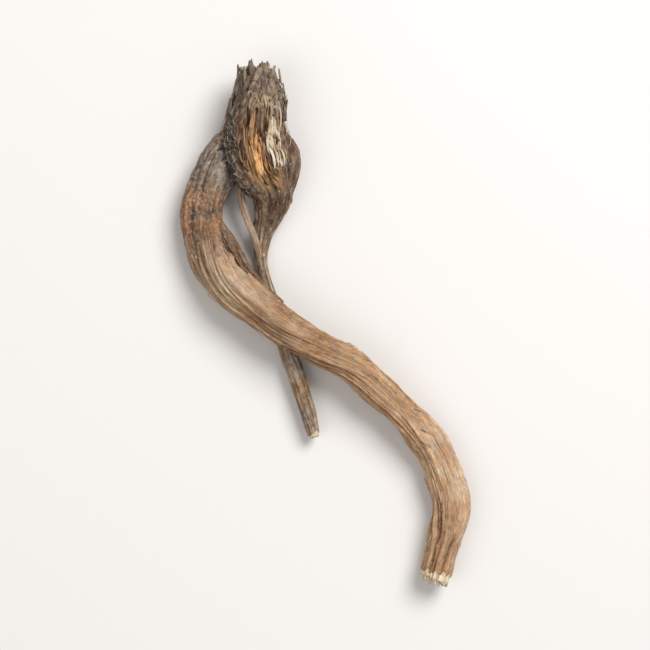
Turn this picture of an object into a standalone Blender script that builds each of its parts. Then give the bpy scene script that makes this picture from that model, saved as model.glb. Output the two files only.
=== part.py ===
"""A dried dandelion root, lying on its side: a torn crown with the stubs of its leaves,
a long curved taproot, and a thin side root that passes below it. It grew as one piece.

Lengths are in millimetres until a mesh is made. +X and +Y lie along the surface, +Z is up.
"""

import math
import random

import bmesh
import bpy
from mathutils import Vector, noise

MM = 0.001
UP = Vector((0.0, 0.0, 1.0))

# Each limb is a row of points (x, y, z, radius), from its crown end to its tip.
TAPROOT = [
    (-18.6, 50.2, 7.2, 3.2),
    (-24.3, 43.8, 5.8, 4.3),
    (-28.4, 36.4, 4.8, 4.4),
    (-30.0, 28.3, 4.2, 4.5),
    (-28.7, 20.9, 4.6, 4.6),
    (-24.8, 14.3, 6.0, 4.7),
    (-18.3, 8.6, 7.4, 4.6),
    (-10.3, 2.7, 8.0, 4.2),
    (-1.2, -2.7, 7.7, 4.1),
    (7.6, -7.9, 6.8, 3.9),
    (15.2, -14.9, 5.6, 3.8),
    (22.0, -21.6, 4.5, 3.8),
    (27.0, -29.2, 4.0, 3.9),
    (29.7, -37.8, 3.8, 4.1),
    (29.3, -45.8, 4.1, 3.8),
    (27.6, -52.3, 4.6, 3.4),
    (26.0, -58.2, 5.2, 3.2),
]
CROWN_AND_SIDE_ROOT = [
    (-16.2, 62.0, 8.8, 4.2),
    (-16.2, 58.0, 8.7, 5.3),
    (-16.8, 52.6, 8.3, 6.2),
    (-17.2, 46.8, 7.5, 6.7),
    (-15.7, 40.8, 6.4, 6.2),
    (-13.3, 35.2, 4.7, 4.8),
    (-13.9, 30.0, 3.5, 3.2),
    (-15.3, 24.8, 2.6, 2.1),
    (-15.8, 19.2, 2.1, 1.45),
    (-14.3, 12.8, 1.9, 1.35),
    (-11.8, 5.2, 1.9, 1.5),
    (-9.4, -2.8, 2.6, 2.0),
    (-6.6, -10.4, 3.0, 2.1),
    (-4.6, -17.4, 3.1, 1.8),
    (-2.8, -24.0, 3.2, 1.4),
]
PRESSED_SIDE_ROOT = [
    (-26.4, 28.5, 5.4, 1.0),
    (-23.4, 23.2, 5.6, 1.6),
    (-20.2, 17.2, 6.2, 1.7),
    (-15.8, 12.0, 7.0, 1.4),
    (-10.8, 8.0, 7.8, 0.9),
]
ROOTLET = [
    (-19.4, 39.6, 6.4, 0.95),
    (-20.6, 34.8, 5.8, 0.9),
    (-19.1, 29.0, 5.2, 0.8),
    (-17.2, 24.0, 4.5, 0.75),
    (-15.9, 19.6, 2.9, 0.75),
]
SHOULDER = [
    (-12.6, 51.4, 6.8, 1.2),
    (-10.7, 47.8, 6.5, 1.9),
    (-9.4, 44.6, 6.0, 2.45),
    (-9.1, 41.4, 5.5, 2.7),
    (-10.0, 38.0, 4.9, 2.6),
    (-11.5, 33.8, 4.1, 2.3),
    (-13.1, 29.6, 3.5, 1.8),
    (-14.8, 25.2, 2.9, 1.2),
]
# The middle of the finished root, seen from above, in the frame of the rows above.
MIDDLE = Vector((-0.29, 3.12, 0.0, 0.0))

# Points round each limb, and how far apart its rings are: near its crown end, then beyond.
TAPROOT_MESH = {"sides": 56, "fine_until": 0.0, "fine_step": 3.0, "step": 3.0}
CROWN_MESH = {"sides": 42, "fine_until": 30.0, "fine_step": 1.5, "step": 4.5}
PRESSED_MESH = {"sides": 8, "fine_until": 0.0, "fine_step": 1.8, "step": 1.8}
ROOTLET_MESH = {"sides": 6, "fine_until": 0.0, "fine_step": 2.2, "step": 2.2}
SHOULDER_MESH = {"sides": 28, "fine_until": 0.0, "fine_step": 2.2, "step": 2.2}

# The skin shrank as it dried, into long ridges with furrows between them.
FURROWS = 14
FURROW_DEPTH = 1.05
FURROW_WIDTH = 0.13
FURROW_STRAY = 0.2
FURROW_STRENGTH = (0.45, 1.0)
FURROW_SWAY = (0.04, 0.12)
FURROW_SWAY_LENGTH = (22.0, 48.0)
FURROW_RUN_LENGTH = (18.0, 42.0)
RIDGE_HEIGHT = 0.38
SKIN_TWIST = 0.7
SKIN_TWIST_LENGTH = 38.0
FLATTENING = 0.07
LUMP = 0.16
LUMP_LENGTH = 9.0
STOUT_RADIUS = 4.4
# Along its middle the taproot is worn smoother: by how much, where, and over what reach.
WORN_SHARE = 0.45
WORN_MIDDLE = 82.0
WORN_REACH = 32.0

# The crown is torn open along its upper side, and its bark has rings where leaves once grew.
TEAR_MIDDLE = 16.5
TEAR_HALF_LENGTH = 10.0
TEAR_ANGLE = -0.15
TEAR_HALF_ANGLE = 0.72
TEAR_DEPTH = 2.3
TEAR_RIDGES = 1.6
TEAR_STEEPNESS = 16.0
LEAF_RING_HEIGHT = 0.3
LEAF_RING_SPACING = 2.8
LEAF_RINGS_UNTIL = 18.0

# Dry leaf stalks lie close round the crown's top, and more of them stand on it.
OUTER_STALKS = 11
OUTER_STALK_START = 8.0
OUTER_STALK_START_ABOVE_TEAR = 4.0
OUTER_STALK_REACH = (-1.0, 5.0)
OUTER_STALK_LEAN = (-0.24, -0.04)
INNER_STALKS = 8
INNER_STALK_REACH = (2.5, 5.0)
STALK_RADIUS = (1.1, 1.9)
STALK_FLATNESS = 0.55
OUTER_STALK_SINK = 0.45
STALK_SINK = 2.0
GOLDEN_ANGLE = math.pi * (3.0 - math.sqrt(5.0))

# A row of dark scales runs down the seam between the crown and the taproot.
SCALES = 8
SCALE_START = 11.0
SCALE_STEP = 2.1
SCALE_ANGLE = 1.0
SCALE_LENGTH = 3.4
SCALE_RADIUS = 1.3

# Where rootlets broke away from the taproot: how far along it, and the angle from its top.
SCARS = [(21.0, 0.7), (38.0, -1.2), (61.0, 1.3), (83.0, -0.9), (104.0, 0.8), (122.0, -2.3)]
SCAR_HEIGHT = 0.7
SCAR_SINK = 1.6
SCAR_RADIUS = 0.95

# The lower ends of the taproot and of the side root were snapped off: each has a torn edge, whose
# depth is a share of the end's radius, and the taproot's is a little aslant.
TORN_SHARE = 0.28
TORN_SLANT = 0.8
SPLINTERS = 6
SPLINTER_LENGTH = (0.8, 2.0)
SPLINTER_SINK = 1.3
SPLINTER_RADIUS = 0.6

TIP_RINGS = (0.72, 0.36)
TIP_HOLLOW = 0.5
TABLE_SIZE = 0.4
BARK_COLOUR = (0.31, 0.21, 0.14, 1.0)
SEED = 7


def clear_scene():
    for old in list(bpy.data.objects):
        bpy.data.objects.remove(old)


def through(points):
    """A smooth curve through the points, as (how far along, sample) pairs close together."""
    rows = [Vector(p) - MIDDLE for p in points]
    rows = [rows[0] * 2 - rows[1], *rows, rows[-1] * 2 - rows[-2]]
    fine = []
    for a, b, c, d in zip(rows, rows[1:], rows[2:], rows[3:]):
        for step in range(24):
            t = step / 24
            fine.append(0.5 * (2 * b + (c - a) * t + (2 * a - 5 * b + 4 * c - d) * t**2
                               + (3 * b - a - 3 * c + d) * t**3))
    fine.append(rows[-2])
    reach = [0.0]
    for a, b in zip(fine, fine[1:]):
        reach.append(reach[-1] + (b.to_3d() - a.to_3d()).length)
    return list(zip(reach, fine))


def station(curve, along):
    """At a length along the curve: its centre, radius, direction, and its up and its side."""
    at = 1
    while at < len(curve) - 1 and curve[at][0] < along:
        at += 1
    (low, a), (high, b) = curve[at - 1], curve[at]
    here = a.lerp(b, min(max((along - low) / (high - low), 0.0), 1.0))
    before, after = curve[max(at - 6, 0)][1], curve[min(at + 5, len(curve) - 1)][1]
    tangent = (after.to_3d() - before.to_3d()).normalized()
    up = (UP - UP.dot(tangent) * tangent).normalized()
    return here.to_3d(), here[3], tangent, up, tangent.cross(up)


def ring_places(length, size):
    """How far along a limb each of its rings is."""
    fine = round(size["fine_until"] / size["fine_step"])
    coarse = max(round((length - fine * size["fine_step"]) / size["step"]), 1)
    start = fine * size["fine_step"]
    return [i * size["fine_step"] for i in range(fine)] + [
        start + (length - start) * i / coarse for i in range(coarse + 1)
    ]


def furrow_rows():
    """Each furrow's angle, how it sways from side to side, where it runs deep, and how deep it is."""
    draw = random.Random(SEED)
    rows = []
    for k in range(FURROWS):
        rows.append((
            math.tau * (k + draw.uniform(-FURROW_STRAY, FURROW_STRAY)) / FURROWS,
            draw.uniform(*FURROW_SWAY),
            math.tau / draw.uniform(*FURROW_SWAY_LENGTH),
            draw.uniform(0.0, math.tau),
            math.tau / draw.uniform(*FURROW_RUN_LENGTH),
            draw.uniform(0.0, math.tau),
            draw.uniform(*FURROW_STRENGTH),
        ))
    return rows


FURROW_ROWS = furrow_rows()


def furrow_lines(along, offset):
    """The angle of every furrow at this length along a limb, in order round it."""
    twist = SKIN_TWIST * noise.noise(Vector((along / SKIN_TWIST_LENGTH, offset, 4.0)))
    return [
        middle + twist + sway * math.sin(along * rate + phase + offset)
        for middle, sway, rate, phase, _, _, _ in FURROW_ROWS
    ]


def columns(along, offset, sides):
    """Angles round a limb that keep to its furrows, so that each furrow has points down its bottom."""
    lines = furrow_lines(along, offset)
    lines.append(lines[0] + math.tau)
    angles = []
    for i in range(sides):
        k, share = divmod(i * FURROWS / sides, 1.0)
        angles.append(lines[int(k)] * (1 - share) + lines[int(k) + 1] * share)
    return angles


def apart(a, b):
    """The smaller angle between two directions round a limb."""
    return abs(math.remainder(a - b, math.tau))


def furrow(along, angle, offset):
    """From 0 on a ridge's back to 1 at the bottom of a furrow."""
    deepest = 0.0
    for line, row in zip(furrow_lines(along, offset), FURROW_ROWS):
        run = 0.5 + 0.5 * math.sin(along * row[4] + row[5] + offset)
        depth = row[6] * (0.25 + 0.75 * run)
        deepest = max(deepest, depth * math.exp(-apart(angle, line) / FURROW_WIDTH))
    return deepest


def worn(along, offset):
    """How much of a furrow's depth is left at this length along a limb."""
    if offset:
        return 1.0
    return 1.0 - WORN_SHARE * math.exp(-(((along - WORN_MIDDLE) / WORN_REACH) ** 2))


def bark(along, angle, radius, offset):
    """How far the bark stands out from, or lies in from, the limb's round outline."""
    stout = min(radius / STOUT_RADIUS, 1.2) * worn(along, offset)
    flat = FLATTENING * radius * math.cos(2 * (angle - 0.9 - 0.03 * along))
    lumps = noise.noise(Vector((math.cos(angle), math.sin(angle), along / LUMP_LENGTH + offset + 31.0)))
    ridges = FURROW_DEPTH * stout * (RIDGE_HEIGHT - furrow(along, angle, offset))
    return ridges + flat + LUMP * radius * lumps


def crown_bark(along, angle, radius, offset):
    """The crown's bark, with the long tear down its upper side and the rings of old leaves."""
    turn = math.remainder(angle - TEAR_ANGLE, math.tau)
    reach = math.hypot((along - TEAR_MIDDLE) / TEAR_HALF_LENGTH, turn / TEAR_HALF_ANGLE)
    torn = 1 / (1 + math.exp(TEAR_STEEPNESS * (reach - 0.95)))
    fibres = TEAR_RIDGES * (RIDGE_HEIGHT - furrow(along, angle, offset)) - TEAR_DEPTH
    ringed = max(0.0, 1.0 - along / LEAF_RINGS_UNTIL)
    rings = LEAF_RING_HEIGHT * ringed * math.sin(math.tau * along / LEAF_RING_SPACING + math.sin(3 * angle))
    return (bark(along, angle, radius, offset) + rings) * (1 - torn) + fibres * torn


def limb(name, points, size, surface, offset, slant=0.0):
    """A closed solid swept along a row of points: a loft between rings that are all unlike."""
    curve = through(points)
    rings = []
    for along in ring_places(curve[-1][0], size):
        centre, radius, tangent, up, side = station(curve, along)
        angles = columns(along, offset, size["sides"])
        rings.append([
            centre + (up * math.cos(a) + side * math.sin(a)) * (radius + surface(along, a, radius, offset))
            for a in angles
        ])
    jags = [
        TORN_SHARE * radius * noise.noise(Vector((3 * math.cos(a), 3 * math.sin(a), offset))) - slant * math.sin(a)
        for a in angles
    ]
    rings[-1] = [p + tangent * jag for p, jag in zip(rings[-1], jags)]
    edge = rings[-1]
    for share in TIP_RINGS:
        rings.append([centre + (p - centre) * share - tangent * (1 - share) * TIP_HOLLOW for p in edge])

    bm = bmesh.new()
    loops = [[bm.verts.new(p * MM) for p in ring] for ring in rings]
    for a, b in zip(loops, loops[1:]):
        for i in range(len(a)):
            j = (i + 1) % len(a)
            bm.faces.new((a[i], a[j], b[j], b[i]))
    first_centre, _, first_tangent, _, _ = station(curve, 0.0)
    poles = (first_centre - first_tangent * TIP_HOLLOW, centre - tangent * TIP_HOLLOW)
    for loop, pole in zip((loops[0], loops[-1]), poles):
        middle = bm.verts.new(pole * MM)
        for i in range(len(loop)):
            bm.faces.new((loop[i], loop[(i + 1) % len(loop)], middle))
    bmesh.ops.recalc_face_normals(bm, faces=bm.faces)
    return finished(name, bm)


def finished(name, bm):
    mesh = bpy.data.meshes.new(name)
    bm.to_mesh(mesh)
    bm.free()
    return bpy.data.objects.new(name, mesh)


def peg(name, foot, direction, length, radius, thin_way, tip_share):
    """A short tapered stub, thinner one way than the other, whose foot is sunk in what it grows from."""
    bm = bmesh.new()
    bmesh.ops.create_cone(bm, cap_ends=True, segments=6, radius1=radius, radius2=radius * tip_share,
                          depth=length)
    bmesh.ops.scale(bm, vec=(1.0, STALK_FLATNESS, 1.0), verts=bm.verts)
    bmesh.ops.translate(bm, vec=(0.0, 0.0, length / 2), verts=bm.verts)
    across = direction.cross(thin_way).normalized()
    for v in bm.verts:
        x, y, z = v.co
        v.co = (foot + across * x + direction.cross(across) * y + direction * z) * MM
    bmesh.ops.recalc_face_normals(bm, faces=bm.faces)
    return finished(name, bm)


def outwards(angle, up, side):
    return up * math.cos(angle) + side * math.sin(angle)


def outer_stalks():
    """Dry leaf stalks that lie close against the crown, all round it, and reach past its top."""
    draw = random.Random(SEED)
    curve = through(CROWN_AND_SIDE_ROOT)
    made = []
    for i in range(OUTER_STALKS):
        angle = math.tau * (i + draw.uniform(-0.25, 0.25)) / OUTER_STALKS
        above_tear = apart(angle, TEAR_ANGLE) < TEAR_HALF_ANGLE
        start = OUTER_STALK_START_ABOVE_TEAR if above_tear else OUTER_STALK_START
        centre, radius, tangent, up, side = station(curve, start)
        out = outwards(angle, up, side)
        leaning = (out * draw.uniform(*OUTER_STALK_LEAN) - tangent).normalized()
        length = start + draw.uniform(*OUTER_STALK_REACH)
        foot = centre + out * (radius - OUTER_STALK_SINK)
        made.append(peg(f"outer_stalk_{i}", foot, leaning, length, draw.uniform(*STALK_RADIUS), out, 0.6))
    return made


def inner_stalks():
    """Broken leaf stalks, packed over the top of the crown in a spiral, as the leaves grew."""
    draw = random.Random(SEED + 1)
    top, radius, tangent, up, side = station(through(CROWN_AND_SIDE_ROOT), 0.5)
    made = []
    for i in range(INNER_STALKS):
        share = math.sqrt((i + 0.5) / INNER_STALKS)
        out = outwards(i * GOLDEN_ANGLE, up, side)
        leaning = (out * 0.3 * share - tangent).normalized()
        length = draw.uniform(*INNER_STALK_REACH) + STALK_SINK
        foot = top + out * radius * 0.75 * share - leaning * STALK_SINK
        made.append(peg(f"inner_stalk_{i}", foot, leaning, length, draw.uniform(*STALK_RADIUS), out, 0.5))
    return made


def crown_scales():
    """A row of overlapping scales on the crown, along the seam between it and the taproot."""
    curve = through(CROWN_AND_SIDE_ROOT)
    made = []
    for i in range(SCALES):
        centre, radius, tangent, up, side = station(curve, SCALE_START + SCALE_STEP * i)
        out = outwards(SCALE_ANGLE - 0.16 * (i % 2), up, side)
        leaning = (out * 0.45 - tangent).normalized()
        foot = centre + out * (radius - 0.7) + tangent * 1.0
        made.append(peg(f"scale_{i}", foot, leaning, SCALE_LENGTH, SCALE_RADIUS, out, 0.6))
    return made


def scars():
    """Low stumps where rootlets broke away from the taproot."""
    curve = through(TAPROOT)
    made = []
    for i, (along, angle) in enumerate(SCARS):
        centre, radius, tangent, up, side = station(curve, along)
        out = outwards(angle, up, side)
        foot = centre + out * (radius - SCAR_SINK)
        made.append(peg(f"scar_{i}", foot, out, SCAR_HEIGHT + SCAR_SINK, SCAR_RADIUS, tangent, 0.8))
    return made


def splinters():
    """Ends of woody fibre that stand out of the taproot's snapped end."""
    draw = random.Random(SEED)
    curve = through(TAPROOT)
    centre, radius, tangent, up, side = station(curve, curve[-1][0])
    made = []
    for i in range(SPLINTERS):
        out = outwards(math.tau * (i + draw.uniform(-0.3, 0.3)) / SPLINTERS, up, side)
        foot = centre + out * radius * 0.72 - tangent * SPLINTER_SINK
        length = draw.uniform(*SPLINTER_LENGTH) + SPLINTER_SINK
        made.append(peg(f"splinter_{i}", foot, tangent, length, SPLINTER_RADIUS, out, 0.55))
    return made


def collection(name, objects):
    made = bpy.data.collections.new(name)
    bpy.context.scene.collection.children.link(made)
    for obj in objects:
        made.objects.link(obj)
    return made


def join_to(obj, grown_on):
    """Fuses everything in the collection into obj, then removes the collection's objects."""
    union = obj.modifiers.new("grown together", "BOOLEAN")
    union.operation = "UNION"
    union.operand_type = "COLLECTION"
    union.collection = grown_on
    union.solver = "EXACT"
    bpy.context.view_layer.update()
    evaluated = obj.evaluated_get(bpy.context.evaluated_depsgraph_get())
    fused = bpy.data.meshes.new_from_object(evaluated)
    obj.modifiers.clear()
    obj.data = fused
    keep_outside(fused)
    for old in list(grown_on.objects):
        bpy.data.objects.remove(old)
    bpy.data.collections.remove(grown_on)


def keep_outside(mesh):
    """Fills the small hollows that fusing has sealed, by keeping only the mesh's outer surface."""
    bm = bmesh.new()
    bm.from_mesh(mesh)
    waiting = set(bm.verts)
    pieces = []
    while waiting:
        edge_of_piece = [waiting.pop()]
        piece = []
        while edge_of_piece:
            v = edge_of_piece.pop()
            piece.append(v)
            near = {e.other_vert(v) for e in v.link_edges} & waiting
            waiting -= near
            edge_of_piece.extend(near)
        pieces.append(piece)
    pieces.sort(key=len)
    bmesh.ops.delete(bm, geom=[v for piece in pieces[:-1] for v in piece], context="VERTS")
    bm.to_mesh(mesh)
    bm.free()


def flatten_feet(obj):
    """Where the root presses on the surface it has small flats, cut level with the surface."""
    bpy.ops.mesh.primitive_cube_add(size=TABLE_SIZE, location=(0.0, 0.0, -TABLE_SIZE / 2))
    table = bpy.context.active_object
    table.name = "table_top"
    table.hide_render = True
    table.display_type = "WIRE"
    for holder in list(table.users_collection):
        holder.objects.unlink(table)
    collection("cutters", [table])
    cut = obj.modifiers.new("resting flats", "BOOLEAN")
    cut.operation = "DIFFERENCE"
    cut.object = table
    cut.solver = "EXACT"


def bark_material():
    made = bpy.data.materials.new("dry bark")
    made.use_nodes = True
    shader = made.node_tree.nodes["Principled BSDF"]
    shader.inputs["Base Color"].default_value = BARK_COLOUR
    shader.inputs["Roughness"].default_value = 0.85
    shader.inputs["Metallic"].default_value = 0.0
    return made


def main():
    clear_scene()
    root = limb("root", TAPROOT, TAPROOT_MESH, bark, 0.0, TORN_SLANT)
    grown_on = [
        limb("crown_and_side_root", CROWN_AND_SIDE_ROOT, CROWN_MESH, crown_bark, 50.0),
        limb("pressed_side_root", PRESSED_SIDE_ROOT, PRESSED_MESH, bark, 90.0),
        limb("rootlet", ROOTLET, ROOTLET_MESH, bark, 130.0),
        limb("shoulder", SHOULDER, SHOULDER_MESH, bark, 160.0),
        *outer_stalks(),
        *inner_stalks(),
        *crown_scales(),
        *scars(),
        *splinters(),
    ]
    collection("dandelion root", [root])
    join_to(root, collection("grown on", grown_on))
    flatten_feet(root)
    root.data.materials.clear()
    root.data.materials.append(bark_material())
    root.data.shade_smooth()


main()
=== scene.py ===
import math
import random

import bmesh
import bpy
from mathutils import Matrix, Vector, noise


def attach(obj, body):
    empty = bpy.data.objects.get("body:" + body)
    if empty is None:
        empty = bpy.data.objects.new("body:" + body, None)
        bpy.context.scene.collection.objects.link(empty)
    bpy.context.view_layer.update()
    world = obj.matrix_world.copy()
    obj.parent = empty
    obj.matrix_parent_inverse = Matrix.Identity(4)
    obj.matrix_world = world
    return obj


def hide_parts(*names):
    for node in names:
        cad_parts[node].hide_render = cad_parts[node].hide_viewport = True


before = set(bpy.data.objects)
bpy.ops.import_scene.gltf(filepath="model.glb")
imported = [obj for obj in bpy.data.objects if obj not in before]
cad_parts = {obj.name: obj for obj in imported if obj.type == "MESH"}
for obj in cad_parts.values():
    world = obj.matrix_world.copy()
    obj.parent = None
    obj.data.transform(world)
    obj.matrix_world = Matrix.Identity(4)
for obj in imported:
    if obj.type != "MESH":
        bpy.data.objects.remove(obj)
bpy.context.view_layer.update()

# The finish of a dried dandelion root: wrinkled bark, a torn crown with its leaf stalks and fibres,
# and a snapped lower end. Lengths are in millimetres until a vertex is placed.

MM = 0.001
UP = Vector((0.0, 0.0, 1.0))
SEED = 7

# Each limb is a row of points (x, y, z, radius), from its crown end to its tip.
TAPROOT = [
    (-18.6, 50.2, 7.2, 3.2),
    (-24.3, 43.8, 5.8, 4.3),
    (-28.4, 36.4, 4.8, 4.4),
    (-30.0, 28.3, 4.2, 4.5),
    (-28.7, 20.9, 4.6, 4.6),
    (-24.8, 14.3, 6.0, 4.7),
    (-18.3, 8.6, 7.4, 4.6),
    (-10.3, 2.7, 8.0, 4.2),
    (-1.2, -2.7, 7.7, 4.1),
    (7.6, -7.9, 6.8, 3.9),
    (15.2, -14.9, 5.6, 3.8),
    (22.0, -21.6, 4.5, 3.8),
    (27.0, -29.2, 4.0, 3.9),
    (29.7, -37.8, 3.8, 4.1),
    (29.3, -45.8, 4.1, 3.8),
    (27.6, -52.3, 4.6, 3.4),
    (26.0, -58.2, 5.2, 3.2),
]
CROWN_AND_SIDE_ROOT = [
    (-16.2, 62.0, 8.8, 4.2),
    (-16.2, 58.0, 8.7, 5.3),
    (-16.8, 52.6, 8.3, 6.2),
    (-17.2, 46.8, 7.5, 6.7),
    (-15.7, 40.8, 6.4, 6.2),
    (-13.3, 35.2, 4.7, 4.8),
    (-13.9, 30.0, 3.5, 3.2),
    (-15.3, 24.8, 2.6, 2.1),
    (-15.8, 19.2, 2.1, 1.45),
    (-14.3, 12.8, 1.9, 1.35),
    (-11.8, 5.2, 1.9, 1.5),
    (-9.4, -2.8, 2.6, 2.0),
    (-6.6, -10.4, 3.0, 2.1),
    (-4.6, -17.4, 3.1, 1.8),
    (-2.8, -24.0, 3.2, 1.4),
]
PRESSED_SIDE_ROOT = [
    (-26.4, 28.5, 5.4, 1.0),
    (-23.4, 23.2, 5.6, 1.6),
    (-20.2, 17.2, 6.2, 1.7),
    (-15.8, 12.0, 7.0, 1.4),
    (-10.8, 8.0, 7.8, 0.9),
]
ROOTLET = [
    (-19.4, 39.6, 6.4, 0.95),
    (-20.6, 34.8, 5.8, 0.9),
    (-19.1, 29.0, 5.2, 0.8),
    (-17.2, 24.0, 4.5, 0.75),
    (-15.9, 19.6, 2.9, 0.75),
]
SHOULDER = [
    (-12.6, 51.4, 6.8, 1.2),
    (-10.7, 47.8, 6.5, 1.9),
    (-9.4, 44.6, 6.0, 2.45),
    (-9.1, 41.4, 5.5, 2.7),
    (-10.0, 38.0, 4.9, 2.6),
    (-11.5, 33.8, 4.1, 2.3),
    (-13.1, 29.6, 3.5, 1.8),
    (-14.8, 25.2, 2.9, 1.2),
]
# The middle of the finished root, seen from above, in the frame of the rows above.
MIDDLE = Vector((-0.29, 3.12, 0.0, 0.0))
# What would stand above the ceiling is squeezed into the headroom over it.
CEILING = 14.6
HEADROOM = 0.65
# Where each limb's skin pattern starts, so that no two limbs are alike.
OFFSETS = {"taproot": 0.0, "crown": 50.0, "pressed": 90.0, "rootlet": 130.0, "shoulder": 160.0}

# The long ridges and furrows of the shrunken skin, the same as on the solid.
FURROWS = 14
FURROW_DEPTH = 1.05
FURROW_WIDTH = 0.13
FURROW_STRAY = 0.2
FURROW_STRENGTH = (0.45, 1.0)
FURROW_SWAY = (0.04, 0.12)
FURROW_SWAY_LENGTH = (22.0, 48.0)
FURROW_RUN_LENGTH = (18.0, 42.0)
RIDGE_HEIGHT = 0.38
SKIN_TWIST = 0.7
SKIN_TWIST_LENGTH = 38.0
FLATTENING = 0.07
LUMP = 0.16
LUMP_LENGTH = 9.0
STOUT_RADIUS = 4.4
# Along its middle the taproot is worn smoother: by how much, where, and over what reach.
WORN_SHARE = 0.45
WORN_MIDDLE = 82.0
WORN_REACH = 32.0

# Finer wrinkles between the furrows: how high, and how far apart across and along the limb.
WRINKLES = [(0.36, 1.2, 18.0), (0.24, 0.66, 9.0), (0.08, 0.34, 3.0)]
WRINKLE_SHIFT = 2.5

# The tear down the crown's upper side, and the rings that old leaves left.
TEAR_MIDDLE = 16.5
TEAR_HALF_LENGTH = 10.0
TEAR_ANGLE = -0.15
TEAR_HALF_ANGLE = 0.72
TEAR_DEPTH = 2.3
TEAR_RIDGES = 1.6
TEAR_STEEPNESS = 16.0
TEAR_RAGGEDNESS = 0.16
LEAF_RING_HEIGHT = 0.3
LEAF_RING_SPACING = 2.8
LEAF_RINGS_UNTIL = 18.0

# Dry leaf stalks, where the solid has them.
OUTER_STALKS = 11
OUTER_STALK_START = 8.0
OUTER_STALK_START_ABOVE_TEAR = 4.0
OUTER_STALK_REACH = (-1.0, 5.0)
OUTER_STALK_LEAN = (-0.24, -0.04)
OUTER_STALK_SINK = 0.45
INNER_STALKS = 8
INNER_STALK_REACH = (2.5, 5.0)
STALK_RADIUS = (1.1, 1.9)
STALK_FLATNESS = 0.55
STALK_SINK = 2.0
# How far a stalk's end bends: in over the crown, and aside.
STALK_CURL = (-1.3, -0.1)
STALK_ASIDE = (-0.8, 0.8)
GOLDEN_ANGLE = math.pi * (3.0 - math.sqrt(5.0))

# Dark scales down the seam, the larger ones where the solid has them. On the taproot's side the seam
# starts a little way along it and climbs over its top.
SCALES = 8
SCALE_START = 11.0
SCALE_STEP = 2.1
SCALE_ANGLE = 1.0
SCALE_LENGTH = 3.4
SCALE_RADIUS = 1.3
SMALL_SCALES = 210
SEAM_STRETCH = (8.0, 28.0)
SEAM_SPREAD = 0.11
TAPROOT_SCALES = 80
TAPROOT_SEAM_START = 2.5
TAPROOT_SEAM_LENGTH = 9.5
TAPROOT_SEAM_ANGLE = 1.1
TAPROOT_SEAM_TURN = 2.35
TAPROOT_SEAM_SPREAD = 0.15

# Where rootlets broke away from the taproot: how far along it, and the angle from its top.
SCARS = [(21.0, 0.7), (38.0, -1.2), (61.0, 1.3), (83.0, -0.9), (104.0, 0.8), (122.0, -2.3)]
SCAR_HEIGHT = 0.7
SCAR_RADIUS = 1.1
SMALL_SCARS = 26

# Streaks down the taproot, partly its own colour and partly painted light and shade, paler down its lit
# right side and darker down its shaded left: from and to how far along, the angle at each end of the
# streak, how wide it is, and how much lighter or darker.
TAPROOT_STREAKS_LIGHT_AND_SHADE = [
    (100.0, 130.0, -0.95, -1.15, 0.34, 0.26),
    (126.0, 139.0, -1.0, -1.15, 0.3, 0.3),
    (98.0, 126.0, -0.2, -0.35, 0.35, 0.14),
    (119.0, 139.0, 0.62, 0.72, 0.09, -0.42),
    (124.0, 139.0, 1.0, 1.05, 0.16, 0.18),
    (127.0, 137.5, -0.6, -0.1, 0.1, -0.3),
    (112.0, 126.0, 0.2, 0.35, 0.08, -0.12),
    (96.0, 112.0, 0.5, 0.3, 0.08, -0.2),
    (60.0, 82.0, 0.9, 1.1, 0.2, -0.14),
    (30.0, 52.0, 0.1, -0.1, 0.3, 0.12),
    (44.0, 66.0, -0.7, -0.5, 0.16, 0.12),
    (20.0, 38.0, 0.9, 0.8, 0.2, -0.12),
    (5.0, 18.0, -0.5, -0.3, 0.45, 0.14),
]
# The crown's streaks, in the same columns: partly its own colour and partly painted shade, under the ribs
# at its top and down its right side.
CROWN_STREAKS_AND_SHADE = [
    (8.0, 31.0, 1.05, 0.9, 0.24, -0.3),
    (1.0, 12.0, -0.15, -0.15, 0.5, -0.3),
    (26.0, 46.0, 0.45, 0.2, 0.26, 0.17),
    (27.0, 46.0, -0.6, -0.7, 0.3, -0.1),
    (28.0, 44.0, -0.1, -0.25, 0.09, -0.16),
]
STREAK_FADE = 3.5
STREAK_SWAY = 0.06
STREAK_SWAY_LENGTH = 4.0

# How much lighter or darker the taproot turns over each of these stretches, partly its own tone and partly
# painted light and shade, and all of it besides.
TAPROOT_TONE_AND_LIGHT_STEPS = [
    (18.0, 24.0, -0.12),
    (29.0, 40.0, 0.25),
    (46.0, 54.0, -0.19),
    (70.0, 78.0, 0.07),
    (94.0, 112.0, 0.22),
    (122.0, 131.0, -0.26),
]
TAPROOT_TONE = -0.05

# The crown has painted shade where it narrows, most on its right, and is paler where it is a thin stem.
NARROWING = 28.0
NARROWING_REACH = 6.5
NARROWING_SHADE = 0.13
NARROWING_RIGHT_SHADE = 0.07
THIN_STEM_START = 40.0
THIN_STEM_FADE = 2.0
THIN_STEM_PALER = 0.11
# Painted shade darkens the shoulder and the pressed side root all over; the rootlet is paler.
SHOULDER_SHADE = -0.18
PRESSED_SHADE = -0.1
ROOTLET_TINT = 0.2

# Stretches along a limb, as where each starts, is full, ebbs and ends: where the taproot's painted furrow
# shade is faint, its rusty patch, and in the crown's tear its orange heart and the straw fringe at its
# foot.
FAINT_STRETCH = (34.0, 42.0, 92.0, 106.0)
RUST_STRETCH = (22.0, 29.0, 33.0, 40.0)
ORANGE_STRETCH = (12.0, 17.5, 22.0, 26.0)
FRINGE_STRETCH = (21.5, 24.0, 27.0, 29.0)

# Spots on the bark: how close they lie across and along it, how they bend, how strong and in what colour.
SPOTS = [
    ((0.85, 0.85, 0.5), 0.3, 0.5, (216, 154, 94)),
    ((0.7, 0.7, 0.42), 0.9, 0.45, (156, 132, 122)),
    ((1.1, 1.1, 0.7), 1.5, 0.4, (184, 158, 100)),
]

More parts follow.
